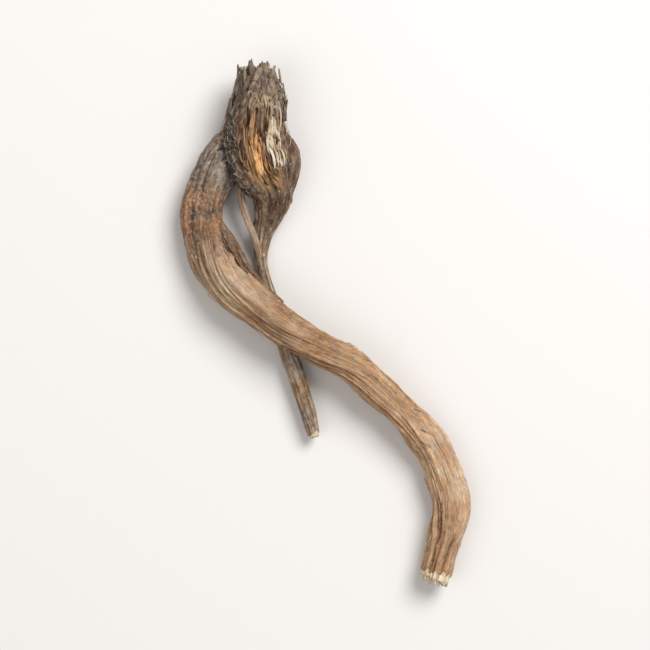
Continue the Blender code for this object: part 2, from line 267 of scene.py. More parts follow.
# The snapped lower ends are torn, the taproot's a little aslant, and bare of bark for a short way.
TORN_SHARE = 0.28
TORN_SLANT = 0.8
TAPROOT_BARE = 1.7
SIDE_ROOT_BARE = 1.0
BARK_THICKNESS = 0.3
TIP_HOLLOW = 0.5
SPLINTERS = 6
SPLINTER_LENGTH = (0.8, 2.0)
SPLINTER_SINK = 1.3
SMALL_SPLINTERS = 110

# Fibres in the tear: their widths, their own tones, and how much more orange they are at its heart. Those
# under the cap and beside the seam lie in the dark.
TEAR_FIBRES = 300
FIBRE_WIDTHS = (0.08, 0.14, 0.2, 0.34)
FIBRE_TONES = (-0.36, -0.18, -0.05, 0.04, 0.1, 0.17)
ORANGE_TONE = 0.58
ORANGE_MIDDLE = 19.3
ORANGE_REACH = 5.6
ORANGE_ANGLE = 0.03
ORANGE_HALF_ANGLE = 0.36
UNDER_CAP_DARKER = 0.035
UNDER_CAP_UNTIL = 14.0
BY_SEAM_DARKER = 0.3
BY_SEAM_FROM = 0.2
PALE_FIBRES = 42

# Fibres that arch out from under the cap: fine loops, and stouter ribs.
LOOPS = 9
LOOP_WIDTH = (0.06, 0.15)
LOOP_SHADE = (0.4, 0.95)
RIBS = 9
RIB_WIDTH = (0.26, 0.42)
RIB_SHADE = (0.4, 0.7)

# Papery scraps over the crown's top.
CHAFF = 240

# Hairs: how many, then the ranges of how far along they start, their angle, length, radius and lift. Those
# on the seam keep to its angle.
SEAM_HAIRS = (44, (7.0, 28.0), (1.5, 4.0), (0.04, 0.08), (0.1, 0.6))
SEAM_HAIR_SPREAD = 0.13
CROWN_HAIRS = (26, (2.0, 22.0), (-2.4, 2.4), (4.0, 11.0), (0.06, 0.13), (0.3, 1.5))
BARK_HAIRS = (34, (8.0, 138.0), (-2.0, 2.0), (1.5, 4.0), (0.05, 0.09), (0.05, 0.4))

# Rings along each limb, points round it, and rings across each of its ends.
TAPROOT_GRID = (456, 196, 10)
CROWN_GRID = (380, 154, 8)
PRESSED_GRID = (90, 56, 4)
ROOTLET_GRID = (70, 30, 4)
SHOULDER_GRID = (150, 84, 4)

# The stage, in metres, with each lamp's place, size and power.
CAMERA_HEIGHT = 0.62
VIEW_WIDTH = 0.158
FLOOR_SIZE = 1.5
FLOOR_DROP = 0.00005
FLOOR_COLOUR = (226, 223, 220)
SKY_COLOUR = (1.0, 0.985, 0.97, 1.0)
SKY_STRENGTH = 0.43
LAMPS = {
    "window": ((0.45, 0.5, 0.8), 0.62, 10.8),
    "reflector": ((-0.6, -0.3, 0.9), 0.9, 2.6),
}


# Curves and places on a limb

def through(points):
    """A smooth curve through the points, as (how far along, sample) pairs close together."""
    rows = [Vector(p) - MIDDLE for p in points]
    rows = [rows[0] * 2 - rows[1], *rows, rows[-1] * 2 - rows[-2]]
    fine = []
    for a, b, c, d in zip(rows, rows[1:], rows[2:], rows[3:]):
        for step in range(24):
            t = step / 24
            fine.append(0.5 * (2 * b + (c - a) * t + (2 * a - 5 * b + 4 * c - d) * t**2
                               + (3 * b - a - 3 * c + d) * t**3))
    fine.append(rows[-2])
    reach = [0.0]
    for a, b in zip(fine, fine[1:]):
        reach.append(reach[-1] + (b.to_3d() - a.to_3d()).length)
    return list(zip(reach, fine))


def station(curve, along):
    """At a length along the curve: its centre, radius, direction, and its up and its side."""
    at = 1
    while at < len(curve) - 1 and curve[at][0] < along:
        at += 1
    (low, a), (high, b) = curve[at - 1], curve[at]
    here = a.lerp(b, min(max((along - low) / (high - low), 0.0), 1.0))
    before, after = curve[max(at - 6, 0)][1], curve[min(at + 5, len(curve) - 1)][1]
    tangent = (after.to_3d() - before.to_3d()).normalized()
    up = (UP - UP.dot(tangent) * tangent).normalized()
    return here.to_3d(), here[3], tangent, up, tangent.cross(up)


def outwards(angle, up, side):
    return up * math.cos(angle) + side * math.sin(angle)


def apart(a, b):
    """The smaller angle between two directions round a limb."""
    return abs(math.remainder(a - b, math.tau))


def furrow_rows():
    """Each furrow's angle, how it sways from side to side, where it runs deep, and how deep it is."""
    draw = random.Random(SEED)
    rows = []
    for k in range(FURROWS):
        rows.append((
            math.tau * (k + draw.uniform(-FURROW_STRAY, FURROW_STRAY)) / FURROWS,
            draw.uniform(*FURROW_SWAY),
            math.tau / draw.uniform(*FURROW_SWAY_LENGTH),
            draw.uniform(0.0, math.tau),
            math.tau / draw.uniform(*FURROW_RUN_LENGTH),
            draw.uniform(0.0, math.tau),
            draw.uniform(*FURROW_STRENGTH),
        ))
    return rows


FURROW_ROWS = furrow_rows()


def furrows_at(along, offset):
    """The angle and the depth of every furrow at this length along a limb, in order round it."""
    twist = SKIN_TWIST * noise.noise(Vector((along / SKIN_TWIST_LENGTH, offset, 4.0)))
    found = []
    for middle, sway, sway_rate, sway_phase, run_rate, run_phase, strength in FURROW_ROWS:
        run = 0.5 + 0.5 * math.sin(along * run_rate + run_phase + offset)
        line = middle + twist + sway * math.sin(along * sway_rate + sway_phase + offset)
        found.append((line, strength * (0.25 + 0.75 * run)))
    return found


def furrow(angle, furrows):
    """From 0 on a ridge's back to 1 at the bottom of a furrow."""
    return max(depth * math.exp(-apart(angle, line) / FURROW_WIDTH) for line, depth in furrows)


def columns(furrows, count):
    """Angles round a limb that keep to its furrows, so that the mesh's columns run along them."""
    lines = [line for line, _ in furrows]
    lines.append(lines[0] + math.tau)
    angles = []
    for i in range(count):
        k, share = divmod(i * FURROWS / count, 1.0)
        angles.append(lines[int(k)] * (1 - share) + lines[int(k) + 1] * share)
    return angles


# Relief of the bark

def worn(along, offset):
    """How much of a furrow's depth is left at this length. Only the taproot, at offset 0, is worn."""
    if offset:
        return 1.0
    return 1.0 - WORN_SHARE * math.exp(-(((along - WORN_MIDDLE) / WORN_REACH) ** 2))


def bark(along, angle, radius, offset, furrowed):
    """How far the bark stands out from, or lies in from, the limb's round outline."""
    stout = min(radius / STOUT_RADIUS, 1.2) * worn(along, offset)
    flat = FLATTENING * radius * math.cos(2 * (angle - 0.9 - 0.03 * along))
    lumps = noise.noise(Vector((math.cos(angle), math.sin(angle), along / LUMP_LENGTH + offset + 31.0)))
    return FURROW_DEPTH * stout * (RIDGE_HEIGHT - furrowed) + flat + LUMP * radius * lumps


def torn_open(along, angle):
    """From 0 on the crown's bark to 1 inside its tear, whose edge is ragged."""
    turn = math.remainder(angle - TEAR_ANGLE, math.tau)
    ragged = TEAR_RAGGEDNESS * noise.noise(Vector((3.1 * turn, 0.35 * along, 2.0)))
    reach = math.hypot((along - TEAR_MIDDLE) / TEAR_HALF_LENGTH, turn / TEAR_HALF_ANGLE) + ragged
    return 1 / (1 + math.exp(min(TEAR_STEEPNESS * (reach - 0.95), 60.0)))


def crown_bark(along, angle, radius, offset, furrowed):
    """The crown's bark, with the long tear down its upper side and the rings of old leaves."""
    torn = torn_open(along, angle)
    fibres = TEAR_RIDGES * (RIDGE_HEIGHT - furrowed) - TEAR_DEPTH
    ringed = max(0.0, 1.0 - along / LEAF_RINGS_UNTIL)
    rings = LEAF_RING_HEIGHT * ringed * math.sin(math.tau * along / LEAF_RING_SPACING + math.sin(3 * angle))
    return (bark(along, angle, radius, offset, furrowed) + rings) * (1 - torn) + fibres * torn


def wrinkles(straight, stout):
    """The height of the fine wrinkles at a place, and from 0 to 1 how near it is to a valley's line."""
    height, crease = 0.0, 0.0
    x, y, z = straight
    for high, across, lengthwise in WRINKLES:
        flat = Vector((x / across + 0.37, y / across + 0.61, 0.0))
        shift = WRINKLE_SHIFT * noise.noise(flat * 0.7)
        folded = abs(noise.noise(flat + Vector((0.0, 0.0, z / lengthwise + shift))))
        height += high * stout * (2.2 * folded - 0.5)
        crease = max(crease, 1.0 - folded / 0.11)
    return height, crease


def scar_places():
    """Every rootlet scar on the taproot: how far along, its angle, its height and its radius."""
    draw = random.Random(SEED + 5)
    large = [(along, angle, SCAR_HEIGHT, SCAR_RADIUS) for along, angle in SCARS]
    ranges = ((8.0, 140.0), (-2.2, 2.2), (0.12, 0.3), (0.4, 0.7))
    small = [tuple(draw.uniform(*limits) for limits in ranges) for _ in range(SMALL_SCARS)]
    return large + small


def scarred(along, angle, radius, scars):
    """How far the rootlet scars near here stand out, and from 0 to 1 how near a scar's middle is."""
    height, nearness = 0.0, 0.0
    for scar_along, scar_angle, scar_height, scar_radius in scars:
        away = math.hypot(along - scar_along, radius * apart(angle, scar_angle)) / scar_radius
        if away < 3.0:
            height += scar_height * (math.exp(-away**2) - 0.55 * math.exp(-(2.6 * away) ** 2))
            nearness = max(nearness, math.exp(-((1.6 * away) ** 2)))
    return height, nearness


# Meshes

def rolled_grid(bm, rings, sides):
    """A grid given back as rings of points. The last point of each ring is to lie on its first."""
    made = bmesh.ops.create_grid(bm, x_segments=rings - 1, y_segments=sides, size=0.5)["verts"]
    made.sort(key=lambda v: (round((v.co.x + 0.5) * (rings - 1)), round((v.co.y + 0.5) * sides)))
    return [made[i * (sides + 1):(i + 1) * (sides + 1)] for i in range(rings)]


def new_mesh():
    """An empty bmesh, with the values that the materials read."""
    bm = bmesh.new()
    layers = {"straight": bm.verts.layers.float_vector.new("straight")}
    for name in ("furrow", "crease", "tear", "cut", "scar", "shade"):
        layers[name] = bm.verts.layers.float.new(name)
    return bm, layers


def finished(name, bm, material):
    """Closes the seams and poles of a mesh, turns its faces outwards and makes it a piece."""
    bmesh.ops.remove_doubles(bm, verts=bm.verts, dist=1e-7)
    bmesh.ops.recalc_face_normals(bm, faces=bm.faces)
    mesh = bpy.data.meshes.new(name)
    bm.to_mesh(mesh)
    bm.free()
    mesh.shade_smooth()
    mesh.materials.append(material)
    piece = bpy.data.objects.new(name, mesh)
    bpy.context.scene.collection.objects.link(piece)
    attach(piece, "root")
    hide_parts("root")
    return piece


def put(vert, place):
    """Places a vertex, above the surface that the root lies on and close below the root's full height."""
    height = max(place.z, 0.0)
    if height > CEILING:
        height = CEILING + HEADROOM * (1 - math.exp((CEILING - height) / HEADROOM))
    vert.co = Vector((place.x, place.y, height)) * MM


def limb(bm, layers, points, grid, surface, offset, bare=0.0, slant=0.0, scars=(), tint=None):
    """Rolls a grid along a limb, with its relief, and closes both ends with broken wood."""
    rings, sides, end_rings = grid
    curve = through(points)
    length = curve[-1][0]
    grid_rings = rolled_grid(bm, rings + 2 * end_rings, sides)
    edges = []
    for at, ring in enumerate(grid_rings[end_rings:end_rings + rings]):
        along = length * at / (rings - 1)
        centre, radius, tangent, up, side = station(curve, along)
        furrows = furrows_at(along, offset)
        angles = columns(furrows, sides)
        stout = min(radius / STOUT_RADIUS, 1.0)
        last = at == rings - 1
        for i, vert in enumerate(ring):
            angle = angles[i % sides]
            turn = math.tau * (i % sides) / sides
            straight = Vector((radius * math.cos(turn), radius * math.sin(turn), along + offset))
            furrowed = furrow(angle, furrows)
            scar_height, nearness = scarred(along, angle, radius, scars)
            torn = torn_open(along, angle) if surface is crown_bark else 0.0
            wrinkle, crease = wrinkles(straight, stout)
            peeled = bared(length - along, angle, bare, offset)
            out = radius + surface(along, angle, radius, offset, furrowed) - BARK_THICKNESS * peeled
            out += wrinkle * (1 - 0.5 * torn) + scar_height
            jag = torn_edge(angle, radius, offset, slant) if last else 0.0
            place = centre + outwards(angle, up, side) * out + tangent * jag
            put(vert, place)
            vert[layers["straight"]] = straight
            vert[layers["furrow"]] = furrowed * worn(along, offset)
            vert[layers["crease"]] = crease
            vert[layers["cut"]] = peeled
            vert[layers["tear"]] = torn
            vert[layers["scar"]] = nearness
            vert[layers["shade"]] = tint(along, turn) if tint else 0.0
            if at == 0 or last:
                edges.append((place, straight))
    first, last = edges[:sides + 1], edges[sides + 1:]
    close_end(grid_rings[end_rings - 1::-1], layers, first, curve, 0.0, -1.0)
    close_end(grid_rings[end_rings + rings:], layers, last, curve, length, 1.0)


def torn_edge(angle, radius, offset, slant):
    """How far the snapped end reaches at this angle, past where the limb ends."""
    rough = noise.noise(Vector((3 * math.cos(angle), 3 * math.sin(angle), offset)))
    return TORN_SHARE * radius * rough - slant * math.sin(angle)


def bared(to_end, angle, bare, offset):
    """1 where the bark is broken away from the wood at a snapped end, and 0 on the bark."""
    if not bare:
        return 0.0
    ragged = noise.noise(Vector((4 * math.cos(angle), 4 * math.sin(angle), offset + 7.0)))
    return 1.0 if to_end < bare * (1 + 0.9 * ragged) else 0.0


def close_end(end_rings, layers, edge, curve, along, way):
    """Fills a limb's broken end: hollow, rough, with its wood a little proud in the middle."""
    centre, _, tangent, _, _ = station(curve, along)
    for at, ring in enumerate(end_rings):
        share = 1 - (at + 1) / len(end_rings)
        for vert, (place, straight) in zip(ring, edge):
            rough = noise.noise(Vector((straight.x, straight.y, 9.0)) * 1.6 * share) if share else 0.0
            sunk = TIP_HOLLOW * (1 - share) * (1 - 0.7 * (1 - share)) - 0.35 * rough
            put(vert, centre + (place - centre) * share - tangent * way * sunk)
            vert[layers["straight"]] = straight * share
            vert[layers["cut"]] = 1.0 - 0.5 * share


def shares(count):
    """Even steps from 0 to 1."""
    return [i / (count - 1) for i in range(count)]


def strand(bm, layers, rows, flatness=1.0, sides=6, shade=0.0, ribs=0.0, jag=0.0, cup=0.0):
    """A fibre, hair or stalk swept through rows of (point, way out, radius), its flat side outwards."""
    rings = rolled_grid(bm, len(rows) + 2, sides)
    along = 40.0 * shade
    for at, (point, out, radius) in enumerate(rows):
        before, after = rows[max(at - 1, 0)][0], rows[min(at + 1, len(rows) - 1)][0]
        tangent = (after - before).normalized()
        across = tangent.cross(out).normalized()
        thick = across.cross(tangent)
        cup_way = cup if thick.dot(out) > 0 else -cup
        along += (after - before).length / 2
        for i, vert in enumerate(rings[at + 1]):
            turn = math.tau * (i % sides) / sides
            ribbed = 1 + ribs * math.cos(5 * turn) * abs(math.sin(turn))
            ragged = jag * noise.noise(Vector((3.3 * math.cos(turn), 1.2 * math.sin(turn), along)))
            last = at == len(rows) - 1
            put(vert, point + across * radius * math.cos(turn)
                + thick * radius * (flatness * ribbed * math.sin(turn) - cup_way * math.cos(turn) ** 2)
                + tangent * (ragged if last else 0.0))
            vert[layers["straight"]] = (radius * math.cos(turn), radius * math.sin(turn), along)
            vert[layers["shade"]] = shade
    for ring, neighbour in ((rings[0], rings[1]), (rings[-1], rings[-2])):
        middle = sum((v.co for v in neighbour[:-1]), Vector()) / sides
        for vert in ring:
            vert.co = middle
            vert[layers["straight"]] = (0.0, 0.0, along)
            vert[layers["shade"]] = shade
            vert[layers["cut"]] = 1.0


def crown_skin():
    """What a place on the crown's bark follows from: the limb's curve, its relief and its offset."""
    return through(CROWN_AND_SIDE_ROOT), crown_bark, OFFSETS["crown"]


def taproot_skin():
    return through(TAPROOT), bark, OFFSETS["taproot"]


def surface_point(skin, along, angle, lift):
    """A point on a limb's bark, raised by lift, with the ways out from the limb and along it."""
    curve, surface, offset = skin
    centre, radius, tangent, up, side = station(curve, along)
    out = outwards(angle, up, side)
    relief = surface(along, angle, radius, offset, furrow(angle, furrows_at(along, offset)))
    return centre + out * (radius + relief + lift), out, tangent


# Pieces

def streaked(streaks, along, turn):
    """How much lighter or darker the streaks make a limb at this place."""
    total = 0.0
    for start, end, start_angle, end_angle, width, step in streaks:
        share = (along - start) / (end - start)
        inside = min(max(min(along - start, end - along) / STREAK_FADE, 0.0), 1.0)
        sway = STREAK_SWAY * noise.noise(Vector((along / STREAK_SWAY_LENGTH, start, 0.0)))
        middle = start_angle + (end_angle - start_angle) * share + sway
        total += step * inside * math.exp(-((apart(turn, middle) / width) ** 2))
    return total


def taproot_tint(along, turn):
    # streaks, partly painted light and shade down the taproot's lit and shaded sides
    return streaked(TAPROOT_STREAKS_LIGHT_AND_SHADE, along, turn)


def taproot_bark():
    bm, layers = new_mesh()
    limb(bm, layers, TAPROOT, TAPROOT_GRID, bark, OFFSETS["taproot"], TAPROOT_BARE, TORN_SLANT,
         scar_places(), taproot_tint)
    return finished("taproot", bm, bark_material("taproot bark", contrast=0.6, on_taproot=True))


def crown_tint(along, turn):
    """Painted shade where the crown narrows, most on its right, and paler on the thin stem below it."""
    narrowing = math.exp(-(((along - NARROWING) / NARROWING_REACH) ** 2))
    thin = 1 / (1 + math.exp(-(along - THIN_STEM_START) / THIN_STEM_FADE))
    # painted shade: the crown darkened where it narrows, more on its right side
    darker = narrowing * (NARROWING_SHADE - NARROWING_RIGHT_SHADE * math.sin(turn))
    return THIN_STEM_PALER * thin - darker + streaked(CROWN_STREAKS_AND_SHADE, along, turn)


def even(tint):
    """A tint that is the same all over a limb."""
    return lambda along, turn: tint


def crown_and_side_root():
    bm, layers = new_mesh()
    limb(bm, layers, CROWN_AND_SIDE_ROOT, CROWN_GRID, crown_bark, OFFSETS["crown"], SIDE_ROOT_BARE,
         tint=crown_tint)
    # the shoulder darkened all over with painted shade
    limb(bm, layers, SHOULDER, SHOULDER_GRID, bark, OFFSETS["shoulder"], tint=even(SHOULDER_SHADE))
    # darker and greyer than the taproot: partly its own colour, partly painted shade
    crown = bark_material("crown bark", pale=-0.065, grey=1.7, contrast=0.9)
    return finished("crown_and_side_root", bm, crown)


def small_side_roots():
    bm, layers = new_mesh()
    # the pressed side root darkened all over with painted shade, the rootlet paler
    limb(bm, layers, PRESSED_SIDE_ROOT, PRESSED_GRID, bark, OFFSETS["pressed"], tint=even(PRESSED_SHADE))
    limb(bm, layers, ROOTLET, ROOTLET_GRID, bark, OFFSETS["rootlet"], tint=even(ROOTLET_TINT))
    # darker and greyer than the taproot: partly its own colour, partly painted shade
    small = bark_material("side root bark", pale=-0.06, grey=1.2, contrast=0.9)
    return finished("small_side_roots", bm, small)


def stalk(bm, layers, draw, foot, direction, length, radius, out):
    """One dry leaf stalk: a ribbed, cupped strap that narrows, bends in over the crown, ends ragged."""
    curl = draw.uniform(*STALK_CURL)
    lean = direction.cross(out) * draw.uniform(*STALK_ASIDE)
    wave = draw.uniform(0.0, math.tau)
    rows = []
    for t in shares(18):
        point = (foot + direction * length * t + (out * curl + lean) * t**2.2
                 + out * 0.22 * math.sin(5 * t + wave))
        rows.append((point, out, radius * (1.02 - 0.5 * t**1.6) * (1 + 0.14 * math.sin(8 * t + wave))))
    strand(bm, layers, rows, flatness=STALK_FLATNESS, sides=26, shade=draw.random(), ribs=0.34, jag=1.1,
           cup=0.3)


def leaf_stalks():
    """The stalks that lie close round the crown, and those packed over its top in a spiral."""
    bm, layers = new_mesh()
    curve = through(CROWN_AND_SIDE_ROOT)
    looks = random.Random(SEED + 9)
    draw = random.Random(SEED)
    for i in range(OUTER_STALKS):
        angle = math.tau * (i + draw.uniform(-0.25, 0.25)) / OUTER_STALKS
        above_tear = apart(angle, TEAR_ANGLE) < TEAR_HALF_ANGLE
        start = OUTER_STALK_START_ABOVE_TEAR if above_tear else OUTER_STALK_START
        centre, radius, tangent, up, side = station(curve, start)
        out = outwards(angle, up, side)
        leaning = (out * draw.uniform(*OUTER_STALK_LEAN) - tangent).normalized()
        length = start + draw.uniform(*OUTER_STALK_REACH)
        foot = centre + out * (radius - OUTER_STALK_SINK)
        stalk(bm, layers, looks, foot, leaning, length, draw.uniform(*STALK_RADIUS), out)
    draw = random.Random(SEED + 1)
    top, radius, tangent, up, side = station(curve, 0.5)
    for i in range(INNER_STALKS):
        share = math.sqrt((i + 0.5) / INNER_STALKS)
        out = outwards(i * GOLDEN_ANGLE, up, side)
        leaning = (out * 0.3 * share - tangent).normalized()
        length = draw.uniform(*INNER_STALK_REACH) + STALK_SINK
        foot = top + out * radius * 0.75 * share - leaning * STALK_SINK
        stalk(bm, layers, looks, foot, leaning, length, draw.uniform(*STALK_RADIUS), out)
    return finished("leaf_stalks", bm, stalk_material())


def tear_heat(along, angle):
    """How orange the bared tissue is: most in the lower left of the tear, and brown round it."""
    down = (along - ORANGE_MIDDLE) / ORANGE_REACH
    aside = math.remainder(angle - ORANGE_ANGLE, math.tau) / ORANGE_HALF_ANGLE
    return math.exp(-down**2 - aside**2)


def tear_fibres():
    """Strands of bared tissue that run up through the tear and under the leaf stalks."""
    bm, layers = new_mesh()
    crown = crown_skin()
    draw = random.Random(SEED + 2)
    for _ in range(TEAR_FIBRES):
        turn = draw.uniform(-0.95, 0.95)
        half = TEAR_HALF_LENGTH * math.sqrt(1 - turn**2)
        start = TEAR_MIDDLE + half * draw.uniform(-0.3, 1.0)
        end = max(start - draw.uniform(3.0, 12.0), TEAR_MIDDLE - half - 2.0)
        angle = TEAR_ANGLE + turn * TEAR_HALF_ANGLE
        sway, drift = draw.uniform(-0.05, 0.05), draw.gauss(0.0, 0.12)
        lift = draw.uniform(0.05, 1.3) ** 1.6
        wide = draw.choice(FIBRE_WIDTHS)
        own_tone = draw.choice(FIBRE_TONES) + draw.uniform(-0.06, 0.06)
        rows = []
        for t in shares(12):
            along = start + (end - start) * t
            raised = lift * math.sin(math.pi * min(t * 1.2, 1.0)) + 0.05
            turned = angle + drift * (t - 0.5) + sway * math.sin(6 * t + turn * 9)
            point, out, _ = surface_point(crown, along, turned, raised)
            rows.append((point, out, wide * (0.3 + math.sin(math.pi * (0.1 + 0.85 * t)))))
        shade = 0.3 + own_tone + ORANGE_TONE * tear_heat((start + end) / 2, angle)
        under_cap = UNDER_CAP_DARKER * max(UNDER_CAP_UNTIL - start, 0.0)
        by_seam = BY_SEAM_DARKER * max(angle - BY_SEAM_FROM, 0.0)
        shade -= under_cap + by_seam
        strand(bm, layers, rows, flatness=0.6, shade=shade, ribs=0.1, jag=0.2)
    return finished("tear_fibres", bm, torn_wood_material())


def crown_chaff():
    """Small papery scraps that lie flat over the crown's top and over the feet of the stalks."""
    bm, layers = new_mesh()
    crown = crown_skin()
    draw = random.Random(SEED + 11)
    for i in range(CHAFF):
        along = 0.6 + 9.4 * draw.random() ** 0.9
        angle = i * GOLDEN_ANGLE
        if torn_open(along + 1.5, angle) > 0.4:
            continue
        foot, out, tangent = surface_point(crown, along, angle, draw.uniform(0.15, 0.75))
        aside = tangent.cross(out) * draw.uniform(-0.6, 0.6)
        leaning = (aside - out * draw.uniform(0.12, 0.3) - tangent).normalized()
        length, radius = draw.uniform(1.8, 4.8), draw.uniform(0.28, 0.75)
        flake(bm, layers, draw, foot, leaning, out, length, radius, curl=0.08)
    return finished("crown_chaff", bm, stalk_material())


def pale_strips():
    """Flat pale strips of torn wood along the right-hand edge of the tear."""
    bm, layers = new_mesh()
    curve = through(CROWN_AND_SIDE_ROOT)
    draw = random.Random(SEED + 3)
    for i in range(PALE_FIBRES):
        turn = draw.uniform(0.5, 1.1)
        angle = TEAR_ANGLE - TEAR_HALF_ANGLE * turn
        start = draw.uniform(13.0, 24.5)
        end = start - draw.uniform(3.0, 10.0)
        depth = 1.4 * min((1.15 - turn) / 0.25, 1.0)
        lift, wide = draw.uniform(-0.3, 0.6), draw.uniform(0.14, 0.42)
        rows = []
        for t in shares(14):
            centre, radius, _, up, side = station(curve, start + (end - start) * t)
            out = outwards(angle + 0.03 * math.sin(4 * t + i), up, side)
            point = centre + out * (radius - depth + (1.3 + lift) * math.sin(math.pi * t) ** 0.6)
            rows.append((point, out, wide * (0.25 + 0.9 * math.sin(math.pi * (0.08 + 0.86 * t)))))
        shade = 0.36 + 0.64 * draw.random()
        strand(bm, layers, rows, flatness=0.35, sides=12, shade=shade, ribs=0.4, jag=0.6)
    return finished("pale_strips", bm, pale_strip_material())


def loops():
    """Loops and ribs that arch out from under the cap, with legs that run down over the tear's head."""
    bm, layers = new_mesh()
    crown = crown_skin()
    draw = random.Random(SEED + 12)
    for k in range(LOOPS + RIBS):
        rib = k >= LOOPS
        middle, spread = draw.uniform(-0.8, 0.4), draw.uniform(0.07, 0.2)
        top, legs = draw.uniform(3.0, 6.5), (draw.uniform(2.5, 9.0), draw.uniform(1.5, 6.0))
        wide, lift = draw.uniform(*(RIB_WIDTH if rib else LOOP_WIDTH)), draw.uniform(0.4, 1.1)
        slump = draw.uniform(-0.12, 0.12)
        rows = []
        for t in shares(26):
            across = 2 * t - 1
            down = legs[across > 0] * abs(across) ** 1.7
            turned = middle + spread * math.sin(1.5 * across) + slump * across**2
            raised = 0.25 + lift * (1 - across**2)
            point, out, _ = surface_point(crown, top + down, turned, raised)
            rows.append((point, out, wide * (1.15 - 0.7 * abs(across))))
        shade = draw.uniform(*(RIB_SHADE if rib else LOOP_SHADE))
        strand(bm, layers, rows, flatness=0.7, sides=8, shade=shade, ribs=0.15)
    return finished("looping_fibres", bm, hair_material())


def flake(bm, layers, draw, foot, direction, out, length, radius, curl=0.4):
    """A small dry scale, which curls away from what it grows on."""
    lifted = draw.uniform(0.2, 1.0) * curl * length
    rows = []
    for t in shares(8):
        point = foot + direction * length * t + out * lifted * t**2
        rows.append((point, out, radius * (0.5 + 0.6 * math.sin(math.pi * (0.12 + 0.74 * t)))))
    strand(bm, layers, rows, flatness=0.28, sides=12, shade=draw.random(), ribs=0.35, jag=0.7, cup=0.25)


def seam_scales():
    """Dark scales and crusts down the seam between the crown and the taproot, on both its sides."""
    bm, layers = new_mesh()
    crown, taproot = crown_skin(), taproot_skin()
    curve = crown[0]
    draw = random.Random(SEED + 4)
    for i in range(SCALES):
        centre, radius, tangent, up, side = station(curve, SCALE_START + SCALE_STEP * i)
        out = outwards(SCALE_ANGLE - 0.16 * (i % 2), up, side)
        skew = tangent.cross(out) * draw.uniform(-0.35, 0.35)
        leaning = (out * 0.38 - tangent + skew).normalized()
        foot = centre + out * (radius - 0.7) + tangent
        flake(bm, layers, draw, foot, leaning, out, SCALE_LENGTH * draw.uniform(0.8, 1.0),
              SCALE_RADIUS * draw.uniform(0.55, 0.85), curl=0.2)
    for _ in range(SMALL_SCALES):
        along = draw.uniform(*SEAM_STRETCH)
        angle = SCALE_ANGLE + draw.gauss(0.0, SEAM_SPREAD)
        foot, out, tangent = surface_point(crown, along, angle, -0.25)
        lifted = out * draw.uniform(0.1, 0.5)
        leaning = (lifted - tangent + tangent.cross(out) * draw.uniform(-0.8, 0.8)).normalized()
        flake(bm, layers, draw, foot, leaning, out, draw.uniform(0.6, 1.9), draw.uniform(0.2, 0.55))
    for _ in range(TAPROOT_SCALES):
        share = draw.random()
        along = TAPROOT_SEAM_START + TAPROOT_SEAM_LENGTH * share
        angle = TAPROOT_SEAM_ANGLE - TAPROOT_SEAM_TURN * share + draw.gauss(0.0, TAPROOT_SEAM_SPREAD)
        foot, out, tangent = surface_point(taproot, along, angle, -0.2)
        lifted = out * draw.uniform(0.1, 0.4)
        leaning = (lifted + tangent + tangent.cross(out) * draw.uniform(-0.9, 0.9)).normalized()
        flake(bm, layers, draw, foot, leaning, out, draw.uniform(0.5, 1.7), draw.uniform(0.18, 0.45))
    return finished("seam_scales", bm, scale_material())


def hair(bm, layers, draw, skin, along, angle, lengths, radii, lifts):
    """A thin dry hair that lies along the bark and stands off it in the middle."""
    length, radius, lift = draw.uniform(*lengths), draw.uniform(*radii), draw.uniform(*lifts)
    way = draw.choice((-1.0, 1.0))
    drift = draw.uniform(-0.5, 0.5)
    curve = skin[0]
    limit = curve[-1][0] - 1.0
    rows = []
    for t in shares(9):
        at = min(max(along + way * length * t, 0.5), limit)
        raised = 0.12 + lift * math.sin(math.pi * t) + 0.1 * math.sin(11 * t)
        point, out, _ = surface_point(skin, at, angle + drift * t**1.5, raised)
        rows.append((point, out, radius * (1.1 - 0.8 * t)))
    strand(bm, layers, rows, sides=5, shade=draw.random())


def fine_hairs():
    """Hairs and loose fibres on the seam, over the crown and here and there along the root."""
    bm, layers = new_mesh()
    crown, taproot = crown_skin(), taproot_skin()
    draw = random.Random(SEED + 6)
    count, stretch, *sizes = SEAM_HAIRS
    for _ in range(count):
        along, angle = draw.uniform(*stretch), SCALE_ANGLE + draw.gauss(0.0, SEAM_HAIR_SPREAD)
        hair(bm, layers, draw, crown, along, angle, *sizes)
    for skin, (count, stretch, angles, *sizes) in ((crown, CROWN_HAIRS), (taproot, BARK_HAIRS)):
        for _ in range(count):
            hair(bm, layers, draw, skin, draw.uniform(*stretch), draw.uniform(*angles), *sizes)
    return finished("fine_hairs", bm, hair_material())


